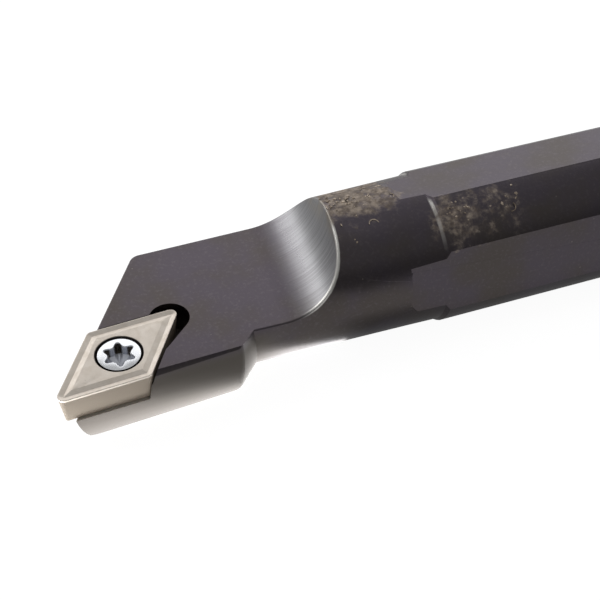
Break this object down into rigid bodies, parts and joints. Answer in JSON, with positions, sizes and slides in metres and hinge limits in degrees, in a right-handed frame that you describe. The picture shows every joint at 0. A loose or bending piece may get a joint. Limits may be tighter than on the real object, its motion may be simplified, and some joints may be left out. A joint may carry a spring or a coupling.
{
  "type": "boring bar",
  "caption": "Steel boring bar with a flatted round shank, a slim neck and an offset right-hand head holding a screwed-on rhombic insert.",
  "frame": {"origin": "centre of the shank's rear end face", "axes": "+X from the cutting nose to the rear end, along the shank; +Z out of the upper clamping flat; the cutting side faces -Y"},
  "size_m": [0.1993, 0.0228, 0.0192],
  "materials": {
    "black_oxide_steel": "black oxide, satin, with a bright milled chip gullet",
    "coated_carbide": "vapour-coated cemented carbide, pale champagne grey, satin",
    "bright_screw_steel": "bright, lightly polished"
  },
  "bodies": {
    "root": {"bar_body": "black_oxide_steel", "cutting_insert": "coated_carbide", "clamp_screw": "bright_screw_steel"}
  },
  "joints": []
}
